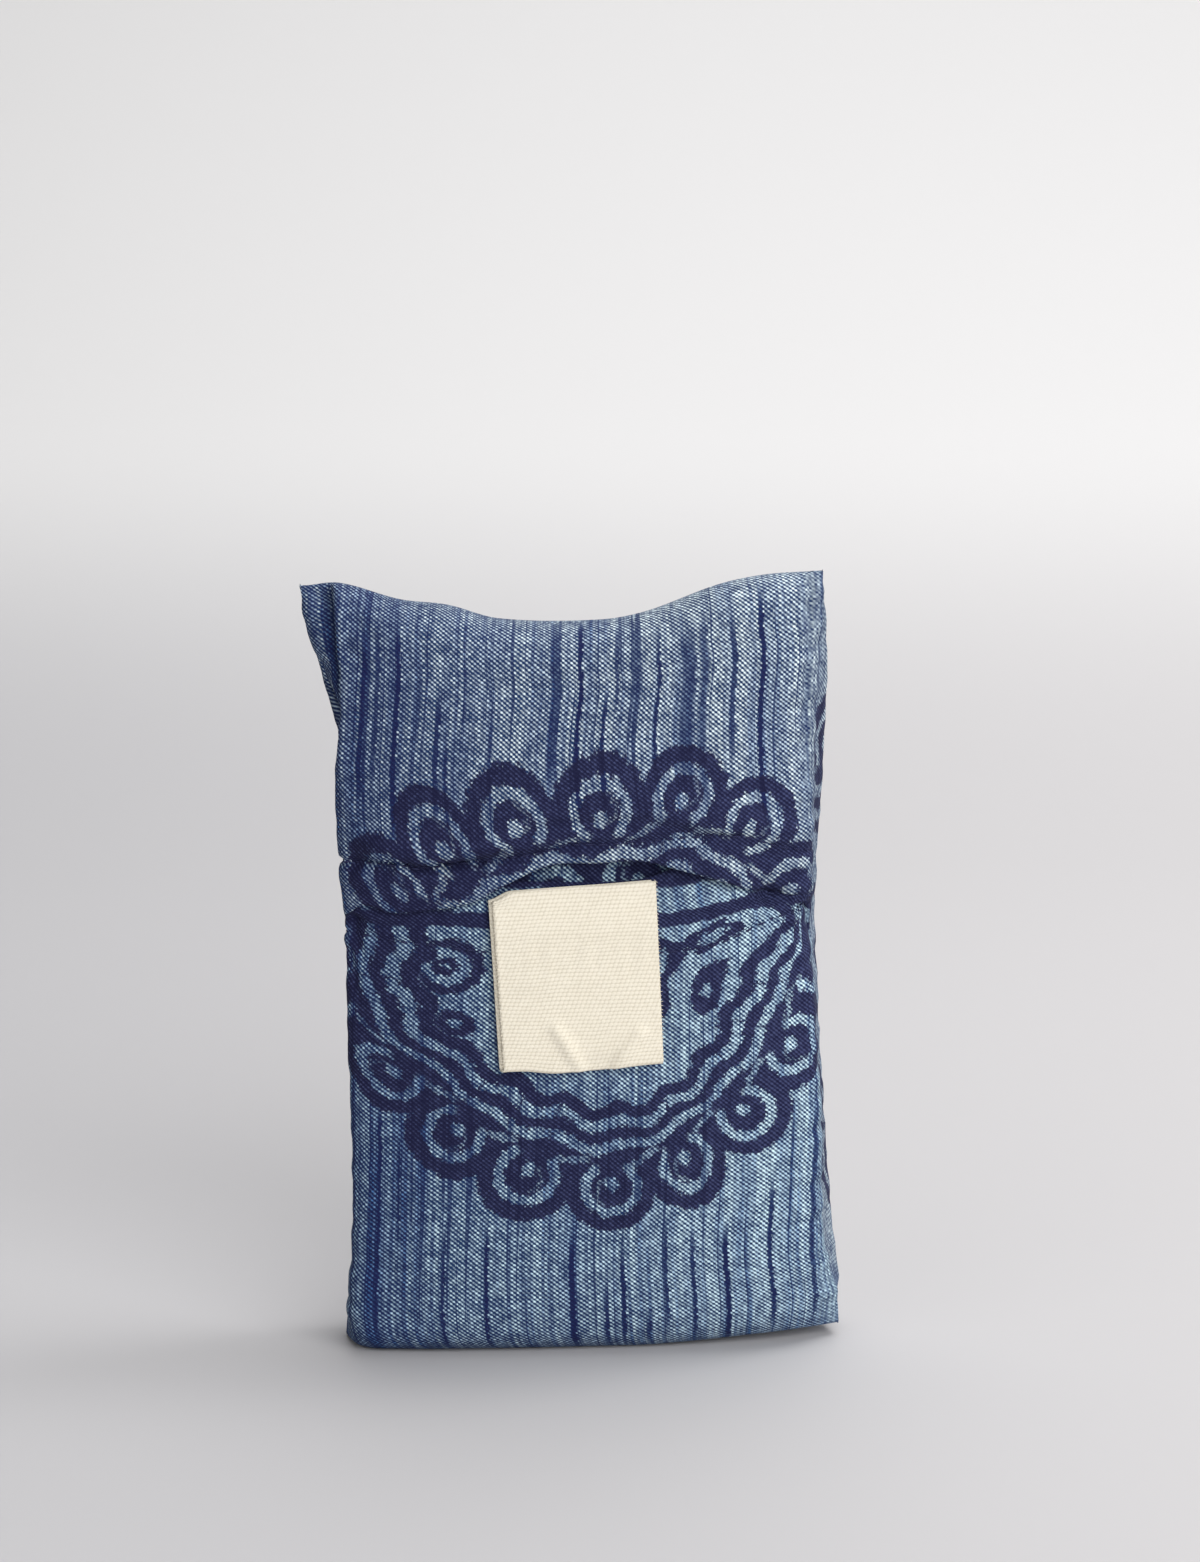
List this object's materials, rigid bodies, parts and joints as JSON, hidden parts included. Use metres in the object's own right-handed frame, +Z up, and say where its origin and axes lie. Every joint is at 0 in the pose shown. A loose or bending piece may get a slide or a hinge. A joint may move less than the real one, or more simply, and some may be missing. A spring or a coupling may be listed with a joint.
{
  "type": "reusable shopping bag folded into its pouch",
  "caption": "Printed cotton shopping bag folded flat inside its own sewn pouch, which stands on its base with a gaping hemmed mouth and a blank tape label on the front.",
  "frame": {"origin": "on the surface that the pouch stands on, under the middle of its bounding box", "axes": "+Z up, the mouth and the label face -Y, +X to the right as seen from the front"},
  "size_m": [0.137, 0.0407, 0.2011],
  "materials": {
    "printed_cloth": "matt woven cotton, indigo print",
    "folded_cloth": "matt woven cotton, indigo print",
    "label_tape": "matt ribbed cotton tape"
  },
  "bodies": {
    "root": {"pouch": "printed_cloth", "folded_bag": "folded_cloth", "label": "label_tape"}
  },
  "joints": []
}
